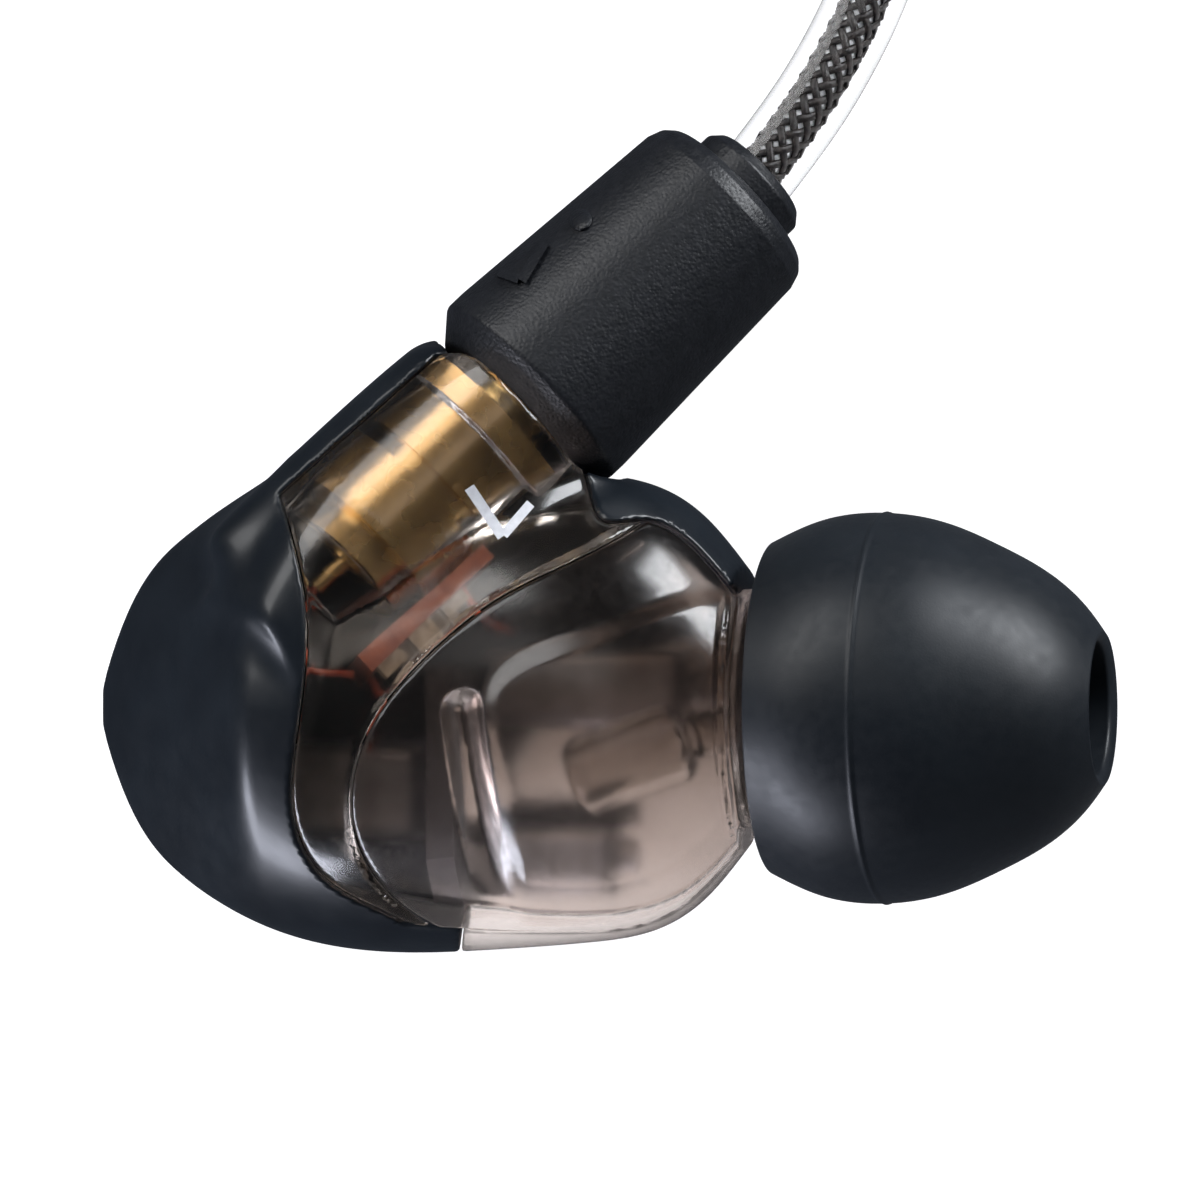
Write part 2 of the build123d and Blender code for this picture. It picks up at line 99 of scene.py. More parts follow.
COIL_FIRST_ROW = -4.97
ROW_STEP_TURNS = 0.2               # share of a turn in which the cable climbs to the next row


def coil_points():
    """Turns lying side by side in flat rows, wound inwards, then outwards on top, and so on."""
    def spot(radius, angle, height):
        return (COIL_CENTRE[0] + radius * cos(angle), COIL_CENTRE[1] + radius * sin(angle), height)

    points = []
    for row in range(COIL_ROWS):
        inwards = row % 2 == 0
        start, end = (COIL_TURN_OUT, COIL_TURN_IN) if inwards else (COIL_TURN_IN, COIL_TURN_OUT)
        for i in range(COIL_TURNS_PER_ROW * COIL_POINTS_PER_TURN):
            turns = i / COIL_POINTS_PER_TURN
            radius = start + (end - start) * turns / COIL_TURNS_PER_ROW
            climb = min(turns / ROW_STEP_TURNS, 1) if row else 1
            height = COIL_FIRST_ROW + CABLE_D * (row - 1 + climb)
            points.append(spot(radius, radians(COIL_START) + 2 * pi * turns, height))
    points.append(spot(COIL_TURN_OUT, radians(COIL_START), height))
    return points


# ---------------------------------------------------------------- mesh helpers
def add_mesh(name, vertices, faces, body, material, smooth=True, metres=False):
    """Mesh piece from nozzle-frame points, riding on a body."""
    mesh = bpy.data.meshes.new(name)
    points = vertices if metres else place(vertices)
    mesh.from_pydata([tuple(p) for p in points], [], [tuple(f) for f in faces])
    mesh.update()
    mesh.polygons.foreach_set("use_smooth", [smooth] * len(mesh.polygons))
    mesh.materials.append(material)
    piece = bpy.data.objects.new(name, mesh)
    bpy.context.scene.collection.objects.link(piece)
    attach(piece, body)
    return piece


def unit(vector):
    vector = np.asarray(vector, dtype=float)
    return vector / np.linalg.norm(vector)


def cubic_through(knots, values):
    """Natural cubic spline through the points, as a function of the knots' own variable."""
    knots, values = np.asarray(knots, float), np.asarray(values, float)
    step = np.diff(knots)
    size = len(knots)
    system, right = np.eye(size), np.zeros(size)
    for i in range(1, size - 1):
        system[i, i - 1:i + 2] = step[i - 1], 2 * (step[i - 1] + step[i]), step[i]
        right[i] = 6 * ((values[i + 1] - values[i]) / step[i] - (values[i] - values[i - 1]) / step[i - 1])
    bend = np.linalg.solve(system, right)

    def at(x):
        x = np.clip(x, knots[0], knots[-1])
        i = np.clip(np.searchsorted(knots, x) - 1, 0, size - 2)
        b = (x - knots[i]) / step[i]
        a = 1 - b
        curve = ((a ** 3 - a) * bend[i] + (b ** 3 - b) * bend[i + 1]) * step[i] ** 2 / 6
        return a * values[i] + b * values[i + 1] + curve
    return at


def curve_through(points, samples=24):
    """Points along a smooth curve through the given ones, by its chord length."""
    points = np.asarray(points, float)
    reach = np.concatenate([[0], np.cumsum(np.linalg.norm(np.diff(points, axis=0), axis=1))])
    along = np.linspace(0, reach[-1], samples * (len(points) - 1) + 1)
    return np.stack([cubic_through(reach, points[:, i])(along) for i in range(points.shape[1])], axis=1)


def rounded(profile, radius, steps=4, closed=True):
    """Profile with its corners rounded by arcs, and a point just past each arc to hold the shading flat."""
    profile = [np.asarray(p, float) for p in profile]
    result = []
    for i, corner in enumerate(profile):
        if not closed and i in (0, len(profile) - 1):
            result.append(corner)
            continue
        before, after = profile[i - 1] - corner, profile[(i + 1) % len(profile)] - corner
        room = 0.45 * min(np.linalg.norm(before), np.linalg.norm(after))
        before, after = unit(before), unit(after)
        half = np.arccos(np.clip(before @ after, -1, 1)) / 2
        if half > 1.5 or room < 1e-6:
            result.append(corner)
            continue
        cut = min(radius / np.tan(half), room * 0.8)
        arc_radius = cut * np.tan(half)
        centre = corner + unit(before + after) * arc_radius / np.sin(half)
        start, end = corner + before * cut, corner + after * cut
        result.append(corner + before * min(cut * 1.3, room))
        for t in np.linspace(0, 1, steps + 1):
            arm = unit((1 - t) * (start - centre) + t * (end - centre))
            result.append(centre + arm * arc_radius)
        result.append(corner + after * min(cut * 1.3, room))
    return result


def lathe(name, profile, origin, axis, body, material, segments):
    """Closed ring of a profile, a list of (radius, height), about an axis in the nozzle frame."""
    axis = unit(axis)
    side = unit(np.cross(axis, [0.3, 0.2, 0.93]))
    other = np.cross(axis, side)
    rows = np.array(profile)
    angles = np.arange(segments) * 2 * pi / segments
    spokes = np.cos(angles)[:, None] * side + np.sin(angles)[:, None] * other
    vertices = (np.asarray(origin) + rows[None, :, 1, None] * axis
                + rows[None, :, 0, None] * spokes[:, None, :])
    count = len(rows)
    faces = []
    for i in range(segments):
        here, there = i * count, (i + 1) % segments * count
        for j in range(count):
            k = (j + 1) % count
            faces.append((here + j, here + k, there + k, there + j))
    piece = add_mesh(name, vertices.reshape(-1, 3), faces, body, material)
    face_outwards(piece)
    return piece


def face_outwards(piece):
    work = bmesh.new()
    work.from_mesh(piece.data)
    bmesh.ops.recalc_face_normals(work, faces=work.faces)
    work.to_mesh(piece.data)
    work.free()


# ---------------------------------------------------------------- surfaces from distance fields
def surface_nets(field, low, step):
    """Vertices and quads on the zero surface of a sampled field, which is negative inside."""
    inside = field < 0
    size = np.array(field.shape) - 1
    corners = [(i, j, k) for i in (0, 1) for j in (0, 1) for k in (0, 1)]

    def corner(values, c):
        return values[c[0]:c[0] + size[0], c[1]:c[1] + size[1], c[2]:c[2] + size[2]]

    full = sum(corner(inside, c).astype(np.int8) for c in corners)
    active = (full > 0) & (full < 8)
    cells = np.argwhere(active)
    number = np.full(active.shape, -1)
    number[active] = np.arange(len(cells))
    total, hits = np.zeros((len(cells), 3)), np.zeros(len(cells))
    for a in corners:
        for axis in range(3):
            if a[axis]:
                continue
            b = tuple(1 if i == axis else a[i] for i in range(3))
            fa, fb = corner(field, a)[active], corner(field, b)[active]
            crossing = (fa < 0) != (fb < 0)
            share = np.where(crossing, fa / np.where(crossing, fa - fb, 1), 0)
            spot = np.array(a, float) + share[:, None] * np.eye(3)[axis]
            total += np.where(crossing[:, None], spot, 0)
            hits += crossing
    vertices = low + step * (cells + total / hits[:, None])
    faces = []
    for axis in range(3):
        b, c = (axis + 1) % 3, (axis + 2) % 3
        start = [slice(None)] * 3
        start[axis] = slice(0, -1)
        end = list(start)
        end[axis] = slice(1, None)
        first, second = inside[tuple(start)], inside[tuple(end)]
        spots = np.argwhere(first != second)
        keep = (spots[:, b] > 0) & (spots[:, c] > 0)
        keep &= (spots[:, b] < size[b]) & (spots[:, c] < size[c])
        spots = spots[keep]
        ring = []
        for db, dc in ((0, 0), (-1, 0), (-1, -1), (0, -1)):
            cell = spots.copy()
            cell[:, b] += db
            cell[:, c] += dc
            ring.append(number[cell[:, 0], cell[:, 1], cell[:, 2]])
        quads = np.stack(ring, axis=1)
        leaving = first[tuple(spots.T)]
        quads[~leaving] = quads[~leaving][:, ::-1]
        faces.append(quads)
    return vertices, np.concatenate(faces)


def view_to_nozzle(points):
    """Points given along the main view's axes, in nozzle-frame axes."""
    return points[..., 0:1] * U_DIR + points[..., 1:2] * V_DIR + points[..., 2:3] * W_DIR


SETTLE_ROUNDS = 4                  # times each vertex is moved onto the true surface
PROBE = 0.02                       # mm to each side at which a distance's slope is taken


def surface_piece(name, distance, low, high, step, body, material):
    """Closed mesh on the zero surface of a distance function, sampled along the main view's axes."""
    axes = [np.arange(a, b + step, step) for a, b in zip(low, high)]
    grid = np.stack(np.meshgrid(*axes, indexing="ij"), axis=-1)
    field = distance(grid)
    vertices, faces = surface_nets(field, np.array(low, float), step)
    for _ in range(SETTLE_ROUNDS):
        here = distance(vertices)
        slope = np.stack([distance(vertices + d) - distance(vertices - d)
                          for d in PROBE * np.eye(3)], axis=-1) / (2 * PROBE)
        size = np.maximum((slope ** 2).sum(-1), 0.25)
        move = -(here / size)[:, None] * slope
        reach = np.linalg.norm(move, axis=1, keepdims=True)
        vertices = vertices + move * np.minimum(1, 0.5 * step / np.maximum(reach, 1e-9))
    return add_mesh(name, view_to_nozzle(vertices), faces, body, material)


# ---------------------------------------------------------------- the earpiece's shells
WALL = 1.1
PARTING_HEIGHT = 0.6
SEAM_GAP = 0.03
BODY_SECTIONS = np.array([          # x, half height in Y, half thickness in Z, centre in Z
    (-21.7, 0.8, 0.6, -1.2), (-20.7, 3.1, 2.5, -1.0), (-18.8, 5.3, 4.4, -0.6),
    (-16.0, 6.9, 5.8, -0.2), (-12.5, 7.7, 6.29, 0.0), (-8.5, 7.65, 6.29, 0.0), (-5.3, 7.4, 6.0, 0.0),
    (-3.4, 7.05, 5.5, 0.0), (-1.7, 6.0, 4.75, 0.0), (-0.4, 4.45, 4.0, 0.0)])
FACE_NORMAL = unit([-0.76, 0.0, 0.65])
FACE_POINT = np.array([-15.25, 0.0, 6.03])
FACE_AXIS = unit([0.65, 0.0, 0.76])
FACE_BOW_R = 12.5
FACE_BLEND = 0.28
SLOPE_STEP = 0.05                  # mm to each side at which the body's taper is taken

MOUTH = np.array([-7.87, 9.31, 0.85])
PLUG_DIR = unit([0.660, 0.678, -0.324])
NECK_R = 3.45
NECK_END_R = 2.2
NECK_END, NECK_FULL = -10.5, -6.0  # heights from the mouth at which the neck ends and has its full radius
NECK_BLEND, NECK_JOIN = 0.4, 1.3
MOUTH_EDGE = 0.12
SOCKET_R = 2.3
SOCKET_FLANGE_R = 2.9
SOCKET_PLAY = 0.02
HOLE_HEIGHTS = [-8.8, -7.2, -1.6, -1.55]
HOLE_RADII = [1.75, SOCKET_R + SOCKET_PLAY, SOCKET_R + SOCKET_PLAY, SOCKET_FLANGE_R + SOCKET_PLAY]
PLUG_GAP = 0.3
# outlines in the main view's axes (u, v)
FAIRING = [(-17.5, 5.2), (-10.4, 11.6), (-8.0, 9.0), (-14.0, 2.0)]
FAIRING_MIDDLE, FAIRING_HALF_DEPTH = -1.2, 2.2
FAIRING_BLEND, FAIRING_EDGE = 0.9, 1.3
NECK_LINE = [(5.0, 24.44), (-7.0, 13.79), (-15.0, 6.69)]
COVER_SEAM = [(-15.0, 6.69), (-14.15, 3.2), (-14.45, -1.0), (-14.5, -3.6), (-13.6, -5.3), (-11.6, -6.45),
              (-8.5, -8.6)]
INNER_SEAM = [(-8.0, -8.4), (-9.4, -7.3), (-11.0, -6.3), (-12.3, -4.8), (-12.75, -3.0), (-12.2, -0.7),
              (-10.4, 1.6), (-8.1, 3.45), (-5.5, 4.75), (-2.5, 6.6), (0.0, 9.0)]
FAR_SEAM = [(-9.4, -9.0), (-9.3, -7.2), (-8.9, -5.2), (-8.0, -2.6), (-6.0, 0.3), (-3.2, 1.7), (0.6, 2.4)]
RIM_SEAM = [(-6.3, 9.2), (-5.4, 7.25), (-4.8, 5.85), (-3.75, 5.9), (-2.4, 5.4), (-1.4, 4.4), (-0.6, 3.4),
            (0.5, 1.6)]
# relief moulded into the inner shell: a raised front panel and a folded rib behind it
PANEL_EDGE = [(-7.3, -8.0), (-7.55, -5.8), (-8.0, -3.2), (-8.45, -0.9), (-8.15, 0.75), (-6.2, 1.95),
              (-4.1, 2.75), (-2.1, 3.45), (0.5, 3.9)]
PANEL_RISE, PANEL_RAMP = 0.24, 0.9
RELIEF_START, RELIEF_FADE = 1.0, 2.0                             # towards the camera, from the parting
RIB_LINE = [(-9.15, -0.1), (-8.85, -1.9), (-8.6, -3.3), (-8.15, -5.3), (-7.6, -7.6)]
RIB_HEIGHT, RIB_HALF_WIDTH = 1.3, 0.75

NOZZLE_BORE_R = 1.75
NOZZLE_END = 7.2
NOZZLE_STEPS = [(-0.4, 3.75), (0.1, 3.75), (0.45, 2.65), (0.75, 2.35), (6.0, 2.35), (6.3, 2.55), (6.7, 2.55),
                (7.2, 2.35)]

TABLE_LOW, TABLE_HIGH, TABLE_STEP = np.array([-24.0, -11.0]), np.array([9.0, 17.0]), 0.08


def smooth_min(a, b, k):
    h = np.clip(0.5 + 0.5 * (b - a) / k, 0, 1)
    return b + (a - b) * h - k * h * (1 - h)


def smooth_max(a, b, k):
    return -smooth_min(-a, -b, k)


def distance_to_line(points, line):
    """Distance of 2-D points to a chain of straight segments."""
    best = np.full(points.shape[:-1], np.inf)
    for a, b in zip(line[:-1], line[1:]):
        along = b - a
        t = np.clip(((points - a) @ along) / (along @ along), 0, 1)
        best = np.minimum(best, ((points - a - t[..., None] * along) ** 2).sum(-1))
    return np.sqrt(best)


def inside_outline(points, outline):
    """True for the 2-D points inside a closed outline."""
    found = np.zeros(points.shape[:-1], bool)
    x, y = points[..., 0], points[..., 1]
    for a, b in zip(outline, np.roll(outline, -1, axis=0)):
        if a[1] == b[1]:
            continue
        spans = (a[1] > y) != (b[1] > y)
        found ^= spans & (x < (b[0] - a[0]) * (y - a[1]) / (b[1] - a[1]) + a[0])
    return found


def look_up(table):
    """Function of view-axes points that reads a table over (u, v), blending its four nearest values."""
    def at(points):
        place_in = (points[..., :2] - TABLE_LOW) / TABLE_STEP
        top = np.array(table.shape) - 2
        cell = np.clip(np.floor(place_in).astype(int), 0, top)
        s, t = np.clip(place_in[..., 0] - cell[..., 0], 0, 1), np.clip(place_in[..., 1] - cell[..., 1], 0, 1)
        i, j = cell[..., 0], cell[..., 1]
        low = table[i, j] * (1 - s) + table[i + 1, j] * s
        high = table[i, j + 1] * (1 - s) + table[i + 1, j + 1] * s
        return low * (1 - t) + high * t
    return at


def table_points():
    axes = [np.arange(a, b + TABLE_STEP, TABLE_STEP) for a, b in zip(TABLE_LOW, TABLE_HIGH)]
    return np.stack(np.meshgrid(*axes, indexing="ij"), axis=-1)


def right_of(line):
    """Signed distance to a seam that runs across the view: positive on its right."""
    line = np.asarray(line, float)
    first = line[0] + 30 * unit(line[0] - line[1])
    last = line[-1] + 30 * unit(line[-1] - line[-2])
    line = np.concatenate([[first], line, [last]])
    points = table_points()
    outline = np.concatenate([line, [[60, last[1]], [60, first[1]]]])
    return look_up(np.where(inside_outline(points, outline), 1, -1) * distance_to_line(points, line))


def near_line(line):
    return look_up(distance_to_line(table_points(), np.asarray(line, float)))


half_height = cubic_through(BODY_SECTIONS[:, 0], BODY_SECTIONS[:, 1])
half_depth = cubic_through(BODY_SECTIONS[:, 0], BODY_SECTIONS[:, 2])
centre_depth = cubic_through(BODY_SECTIONS[:, 0], BODY_SECTIONS[:, 3])


def nozzle_axes(points):
    u, v, w = points[..., 0], points[..., 1], points[..., 2]
    return (u * U_DIR[0] + w * W_DIR[0], v, u * U_DIR[2] + w * W_DIR[2])


def body_distance(points, inset):
    """Bean-shaped body with its bowed left face."""
    x, y, z = nozzle_axes(points)
    start = BODY_SECTIONS[1 if np.any(inset) else 0, 0]
    end = BODY_SECTIONS[-1, 0]
    tall, deep = np.maximum(half_height(x) - inset, 0.3), np.maximum(half_depth(x) - inset, 0.3)
    z = z - centre_depth(x)
    a, b = y / tall, z / deep
    ring = np.sqrt(a * a + b * b) + 1e-6
    across = ring * (ring - 1) / (np.sqrt((a / tall) ** 2 + (b / deep) ** 2) + 1e-6)
    slope = (half_height(x + SLOPE_STEP) - half_height(x - SLOPE_STEP)) / (2 * SLOPE_STEP)
    across = across / np.sqrt(1 + slope ** 2)
    across = np.maximum(across, np.maximum(x - end, start - x))
    return smooth_max(across, bow_distance(points, inset), FACE_BLEND)


def bow_distance(points, inset):
    from_axis = np.stack(nozzle_axes(points), axis=-1) - (FACE_POINT - FACE_BOW_R * FACE_NORMAL)
    along = from_axis @ FACE_AXIS
    return np.sqrt(np.maximum((from_axis ** 2).sum(-1) - along ** 2, 0)) - (FACE_BOW_R - inset)


def plug_axes(points):
    """Height along the plug axis from the mouth, and radius from it."""
    offset = np.stack(nozzle_axes(points), axis=-1) - MOUTH
    height = offset @ PLUG_DIR
    return height, np.sqrt(np.maximum((offset ** 2).sum(-1) - height ** 2, 0))


def outside_distance(points):
    height, radius = plug_axes(points)
    neck_r = np.interp(height, [NECK_END, NECK_FULL], [NECK_END_R, NECK_R])
    neck = smooth_max(radius - neck_r, NECK_END - height, NECK_BLEND)
    neck = smooth_max(smooth_max(neck, bow_distance(points, 0), NECK_BLEND), height, MOUTH_EDGE)
    outline = np.asarray(FAIRING)
    sides = []
    for a, b in zip(outline, np.roll(outline, -1, axis=0)):
        out = unit([a[1] - b[1], b[0] - a[0]])
        sides.append(points[..., 0] * out[0] + points[..., 1] * out[1] - a @ out)
    fairing = sides[0]
    for side in sides[1:]:
        fairing = smooth_max(fairing, side, FAIRING_BLEND)
    slab = np.abs(points[..., 2] - FAIRING_MIDDLE) - FAIRING_HALF_DEPTH
    fairing = smooth_max(smooth_max(fairing, slab, FAIRING_EDGE), height, MOUTH_EDGE)
    whole = smooth_min(body_distance(points, 0), neck, NECK_JOIN)
    whole = smooth_min(whole, fairing, FAIRING_BLEND)
    plug_room_r = np.interp(height, [0.0, 0.95], [PLUG_NOSE_R, PLUG_R]) + PLUG_GAP
    return smooth_max(whole, np.minimum(height, plug_room_r - radius), MOUTH_EDGE)


def shell_pieces():
    """Distance functions of the outer cover, mid shell and inner shell."""
    cover_seam = right_of(NECK_LINE[:-1] + [tuple(p) for p in curve_through(COVER_SEAM)])
    inner_seam = right_of(curve_through(INNER_SEAM))
    far_seam = right_of(curve_through(FAR_SEAM))
    rim_seam = right_of(curve_through(RIM_SEAM))
    panel = right_of(curve_through(PANEL_EDGE))
    rib = near_line(curve_through(RIB_LINE))

    def cut_in_three(points):
        near = points[..., 2] - PARTING_HEIGHT
        smoke = np.minimum(np.minimum(cover_seam(points), -rim_seam(points)), near)
        far = np.minimum(far_seam(points), -near)
        return smoke, far, inner_seam(points)

    def wall(points, outside, inset):
        height, radius = plug_axes(points)
        hole_r = np.interp(height, HOLE_HEIGHTS, HOLE_RADII)
        hole = np.maximum(radius - hole_r, HOLE_HEIGHTS[0] - height)
        return smooth_max(smooth_max(outside, -body_distance(points, inset), 0.1), -hole, 0.08)

    def cover(points):
        smoke, far, _ = cut_in_three(points)
        kept = np.maximum(smoke, far) + SEAM_GAP
        return smooth_max(wall(points, outside_distance(points), WALL), kept, 0.16)

    def mid(points):
        smoke, _, inner = cut_in_three(points)
        kept = np.maximum(-smoke, inner) + SEAM_GAP
        return smooth_max(wall(points, outside_distance(points), WALL), kept, 0.1)

    def inner(points):
        smoke, far, inner_side = cut_in_three(points)
        kept = -np.maximum(np.minimum(smoke, inner_side), far) + SEAM_GAP
        front = np.clip((points[..., 2] - RELIEF_START) / RELIEF_FADE, 0, 1)
        lift = np.clip(panel(points) / PANEL_RAMP + 0.5, 0, 1)
        outside = outside_distance(points) - PANEL_RISE * front * lift * lift * (3 - 2 * lift)
        fold = RIB_HEIGHT * front * np.clip(1 - rib(points) / RIB_HALF_WIDTH, 0, 1)
        shell = smooth_max(wall(points, outside, WALL + fold), kept, 0.1)
        x, y, z = nozzle_axes(points)
        radius = np.hypot(y, z)
        steps = np.array(NOZZLE_STEPS)
        outline = radius - np.interp(x, steps[:, 0], steps[:, 1])
        ends = np.maximum(steps[0, 0] - x, x - NOZZLE_END)
        stem = np.maximum(np.maximum(outline, NOZZLE_BORE_R - radius), ends)
        return smooth_min(shell, stem, 0.2)
    return cover, mid, inner


QUICK_GRID, FULL_GRID = 0.3, 0.13


def make_shells():
    cover, mid, inner = shell_pieces()
    step = FULL_GRID
    pieces = [
        ("cover_shell", cover, (-22.6, -8.6, -9.9), (3.0, 13.2, 5.6), "outer_cover", "cover_black"),
        ("neck_shell", mid, (-16.6, -8.6, 0.2), (0.6, 14.2, 5.8), "mid_shell", "smoke_clear"),
        ("nozzle_shell", inner, (-13.4, -8.8, -9.6), (8.2, 8.2, 5.6), "inner_shell", "smoke_clear")]
    for name, distance, low, high, node, slot in pieces:
        piece = surface_piece(name, distance, low, high, step, "earpiece", MATERIALS[node])
        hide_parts(node)


# ---------------------------------------------------------------- materials
NOISE_LOW, NOISE_HIGH = 0.3, 0.7   # between which most of a noise texture's values lie


class Paint:
    """A Principled material with helpers for procedural detail; scales are features per millimetre."""

    def __init__(self, name, colour, roughness, **settings):
        self.material = bpy.data.materials.new(name)
        self.material.use_nodes = True
        self.tree = self.material.node_tree
        self.shader = self.tree.nodes["Principled BSDF"]
        self.shader.inputs["Base Color"].default_value = (*colour, 1)
        self.shader.inputs["Roughness"].default_value = roughness
        for key, value in settings.items():
            self.shader.inputs[key.replace("_", " ")].default_value = value
        self.where = self.tree.nodes.new("ShaderNodeTexCoord").outputs["Object"]
        self.normal = None

    def node(self, kind, **inputs):
        made = self.tree.nodes.new(kind)
        for key, value in inputs.items():
            socket = made.inputs[key.replace("_", " ")]
            if isinstance(value, bpy.types.NodeSocket):
                self.tree.links.new(value, socket)
            else:
                socket.default_value = value
        return made

    def noise(self, per_mm, detail):
        return self.node("ShaderNodeTexNoise", Vector=self.where, Scale=per_mm * 1000, Detail=detail,
                         Roughness=0.55).outputs["Fac"]

    def cells(self, per_mm, feature="F1"):
        made = self.tree.nodes.new("ShaderNodeTexVoronoi")
        made.feature = feature
        made.inputs["Scale"].default_value = per_mm * 1000
        self.tree.links.new(self.where, made.inputs["Vector"])
        return made.outputs["Distance"]

    def span(self, value, low, high, start, end):
        made = self.node("ShaderNodeMapRange", Value=value)
        for key, number in zip(("From Min", "From Max", "To Min", "To Max"), (start, end, low, high)):
            made.inputs[key].default_value = number
        return made.outputs["Result"]

    def colours(self, value, stops):
        ramp = self.tree.nodes.new("ShaderNodeValToRGB")
        ramp.color_ramp.elements.remove(ramp.color_ramp.elements[1])
        for i, (spot, colour) in enumerate(stops):
            element = ramp.color_ramp.elements[0] if i == 0 else ramp.color_ramp.elements.new(spot)
            element.position = spot
            element.color = (*colour, 1)
        self.tree.links.new(value, ramp.inputs["Fac"])
        self.tree.links.new(ramp.outputs["Color"], self.shader.inputs["Base Color"])

    def vary_roughness(self, value, low, high):
        spread = self.span(value, low, high, NOISE_LOW, NOISE_HIGH)
        self.tree.links.new(spread, self.shader.inputs["Roughness"])

    def bump(self, height, depth_mm, strength=1.0):
        made = self.node("ShaderNodeBump", Height=height, Strength=strength, Distance=depth_mm * MM)
        if self.normal is not None:
            self.tree.links.new(self.normal, made.inputs["Normal"])
        self.normal = made.outputs["Normal"]
        self.tree.links.new(self.normal, self.shader.inputs["Normal"])


def mix_shaders(tree, share, first, second, output):
    """Feeds an output node with a mix of two shaders."""
    mix = tree.nodes.new("ShaderNodeMixShader")
    for source, socket in ((share, mix.inputs["Fac"]), (first, mix.inputs[1]), (second, mix.inputs[2])):
        tree.links.new(source, socket)
    tree.links.new(mix.outputs["Shader"], tree.nodes[output].inputs["Surface"])


def black_moulding():
    paint = Paint("black moulding", (0.005, 0.007, 0.010), 0.34,
                  IOR=1.42, Coat_Weight=0.15, Coat_Roughness=0.16)
    flow = paint.noise(0.35, 2)
    paint.colours(flow, [(0.3, (0.004, 0.006, 0.009)), (0.75, (0.007, 0.010, 0.014))])
    paint.vary_roughness(paint.noise(1.2, 4), 0.31, 0.38)
    paint.bump(paint.noise(9, 2), 0.0012)
    return paint.material


SMOKE_SHADE_Y = (-12.5, -3.5)       # mm in the part frame's Y, between which the smoke's tint is painted darker towards +Y: painted shade


def smoke(name, roughness, tint, grain, deep=None):
    """Translucent smoke plastic; rays from lamps pass through it, tinted, to what it holds. With a deep
    colour given, the tint is painted darker towards +Y, up in the main view, as painted shade.
    """
    paint = Paint(name, tint, roughness, IOR=1.49, Transmission_Weight=1.0)
    if deep:
        # painted shade: the tint runs from tint to the darker deep colour towards +Y, up in the main view
        height = paint.node("ShaderNodeSeparateXYZ", Vector=paint.where).outputs["Y"]
        shade_rise = paint.span(height, 0.0, 1.0, SMOKE_SHADE_Y[0] * MM, SMOKE_SHADE_Y[1] * MM)
        shade_mix = paint.node("ShaderNodeMath", Value=shade_rise)
        drift = paint.span(paint.noise(0.2, 2), -0.15, 0.15, NOISE_LOW, NOISE_HIGH)
        paint.tree.links.new(drift, shade_mix.inputs[1])
        paint.colours(shade_mix.outputs["Value"], [(0.0, tint), (1.0, deep)])
    else:
        paint.colours(paint.noise(0.25, 3), [(0.3, tuple(c * 0.9 for c in tint)), (0.7, tint)])
    paint.vary_roughness(paint.noise(4.5, 4), roughness * 0.8, roughness * 1.2)
    paint.bump(paint.noise(11, 3), grain)
    tree = paint.tree
    clear = tree.nodes.new("ShaderNodeBsdfTransparent")
    clear.inputs["Color"].default_value = (*(c ** 0.5 for c in tint), 1)
    lamp_ray = tree.nodes.new("ShaderNodeLightPath").outputs["Is Shadow Ray"]
    mix_shaders(tree, lamp_ray, paint.shader.outputs["BSDF"], clear.outputs["BSDF"], "Material Output")
    return paint.material


def silicone():
    paint = Paint("satin silicone", (0.006, 0.008, 0.012), 0.4,
                  IOR=1.38, Sheen_Weight=0.02, Sheen_Roughness=0.4)
    paint.colours(paint.noise(0.3, 3), [(0.3, (0.005, 0.007, 0.010)), (0.75, (0.008, 0.011, 0.015))])
    paint.vary_roughness(paint.noise(2.5, 4), 0.38, 0.48)
    paint.bump(paint.noise(14, 2), 0.0025)
    return paint.material


def gold():
    paint = Paint("gold plate", (0.86, 0.68, 0.34), 0.28, Metallic=1.0)
    paint.colours(paint.noise(0.3, 2), [(0.3, (0.84, 0.64, 0.30)), (0.7, (0.90, 0.71, 0.37))])
    paint.vary_roughness(paint.noise(0.8, 2), 0.24, 0.30)
    paint.bump(paint.noise(3, 2), 0.0008)
    return paint.material


def steel():
    paint = Paint("drawn steel", (0.5, 0.5, 0.52), 0.35, Metallic=1.0)
    paint.colours(paint.noise(1.5, 4), [(0.3, (0.42, 0.41, 0.41)), (0.7, (0.60, 0.60, 0.62))])
    paint.vary_roughness(paint.noise(7, 5), 0.28, 0.5)
    paint.bump(paint.noise(20, 2), 0.002)
    return paint.material


def board():
    paint = Paint("circuit board", (0.30, 0.09, 0.05), 0.45)
    paint.colours(paint.noise(1.4, 4), [(0.35, (0.20, 0.055, 0.035)), (0.65, (0.36, 0.12, 0.07))])
    paint.vary_roughness(paint.noise(6, 3), 0.35, 0.55)
    paint.bump(paint.cells(5), 0.01)
    return paint.material


def speckled(name, dark, light, roughness, per_mm=3.0, depth=0.004, **settings):
    paint = Paint(name, light, roughness, **settings)
    paint.colours(paint.noise(per_mm, 4), [(0.35, dark), (0.68, light)])
    paint.vary_roughness(paint.noise(per_mm * 2, 4), roughness * 0.85, min(roughness * 1.15, 1))
    paint.bump(paint.noise(per_mm * 4, 2), depth)
    return paint.material


def woven_mesh():
    paint = Paint("woven screen", (0.3, 0.3, 0.32), 0.4, Metallic=1.0)
    cells = paint.cells(7)
    paint.colours(cells, [(0.15, (0.04, 0.04, 0.045)), (0.45, (0.42, 0.42, 0.44))])
    paint.bump(cells, 0.04)
    return paint.material


